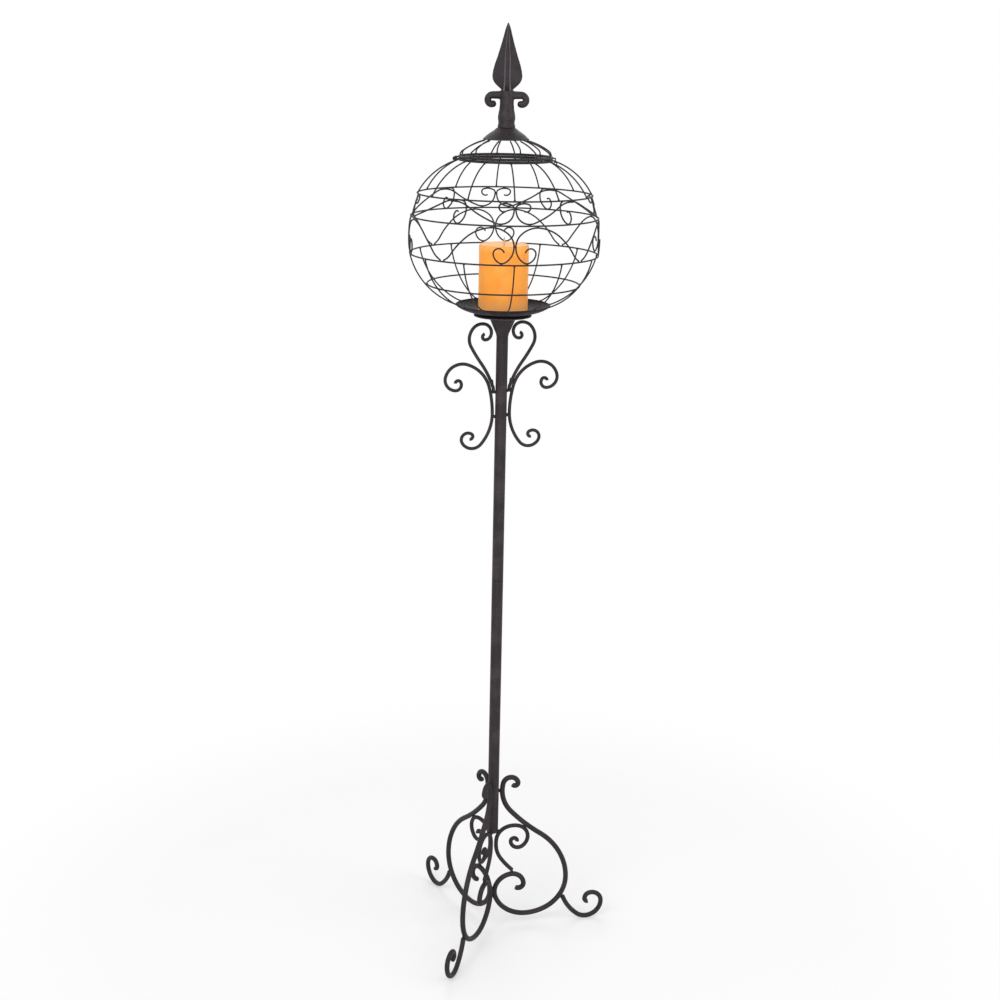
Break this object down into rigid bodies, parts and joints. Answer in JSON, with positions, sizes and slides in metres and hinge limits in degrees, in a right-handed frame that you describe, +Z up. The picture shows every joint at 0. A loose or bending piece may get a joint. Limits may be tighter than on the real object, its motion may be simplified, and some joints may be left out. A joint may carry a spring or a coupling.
{
  "type": "torchere candle stand",
  "caption": "Floor-standing wrought-iron torchere: a pole on scrolled legs carries a wire globe cage with a hinged, spear-topped lid round one pillar candle on a pan.",
  "frame": {"origin": "on the floor under the pole's axis", "axes": "+Z up the pole, +X along the right-hand leg and toward the right-hand bracket, +Y away from the front of the stand"},
  "size_m": [0.3433, 0.3468, 1.4864],
  "materials": {
    "wrought_iron": "satin dark bronze-black, slightly uneven",
    "cast_iron": "painted satin dark bronze-black over a fine cast grain",
    "sheet_iron": "satin dark bronze-black, worn at the rims",
    "candle_wax": "smooth translucent orange wax",
    "wick": "waxed cotton"
  },
  "bodies": {
    "stand": {"leg_rod_right": "wrought_iron", "leg_rod_back": "wrought_iron", "leg_rod_front": "wrought_iron", "foot_scroll_right": "wrought_iron", "foot_scroll_back": "wrought_iron", "foot_scroll_front": "wrought_iron", "inner_scroll_right": "wrought_iron", "inner_scroll_back": "wrought_iron", "inner_scroll_front": "wrought_iron", "leg_pegs": "wrought_iron", "lower_pole": "wrought_iron", "joint_plug": "cast_iron", "joint_stud": "cast_iron", "joint_socket": "cast_iron", "upper_pole": "wrought_iron", "top_plug": "cast_iron", "bracket_s_right": "wrought_iron", "bracket_s_left": "wrought_iron", "bracket_c_right": "wrought_iron", "bracket_c_left": "wrought_iron", "bracket_pegs": "wrought_iron", "cup": "cast_iron", "drip_plate": "sheet_iron", "pan": "sheet_iron", "pan_screw": "cast_iron", "mouth_ring": "wrought_iron", "crown_hoop": "wrought_iron", "shoulder_hoop": "wrought_iron", "waist_hoop": "wrought_iron", "low_hoop": "wrought_iron", "upper_ribs": "wrought_iron", "lower_ribs": "wrought_iron", "lower_scrolls": "wrought_iron", "upper_scrolls": "wrought_iron", "hook_scrolls": "wrought_iron", "hinge_knuckle": "wrought_iron", "hinge_pin": "wrought_iron"},
    "lid": {"lid_ring": "wrought_iron", "lid_ribs": "wrought_iron", "lid_straps": "wrought_iron", "lift_loop": "wrought_iron", "cap": "cast_iron", "finial": "cast_iron", "finial_nut": "cast_iron"},
    "candle_body": {"candle": "candle_wax", "wick": "wick"}
  },
  "joints": [
    {"name": "lid_hinge", "type": "hinge", "parent": "stand", "child": "lid", "pos_m": [-0.07389, 0.0198, 1.2905], "axis": [-0.2588, -0.9659, 0], "range_deg": [0, 135]},
    {"name": "candle_lift", "type": "slide", "parent": "stand", "child": "candle_body", "axis": [0, 0, 1], "range_m": [0, 0.12]}
  ]
}
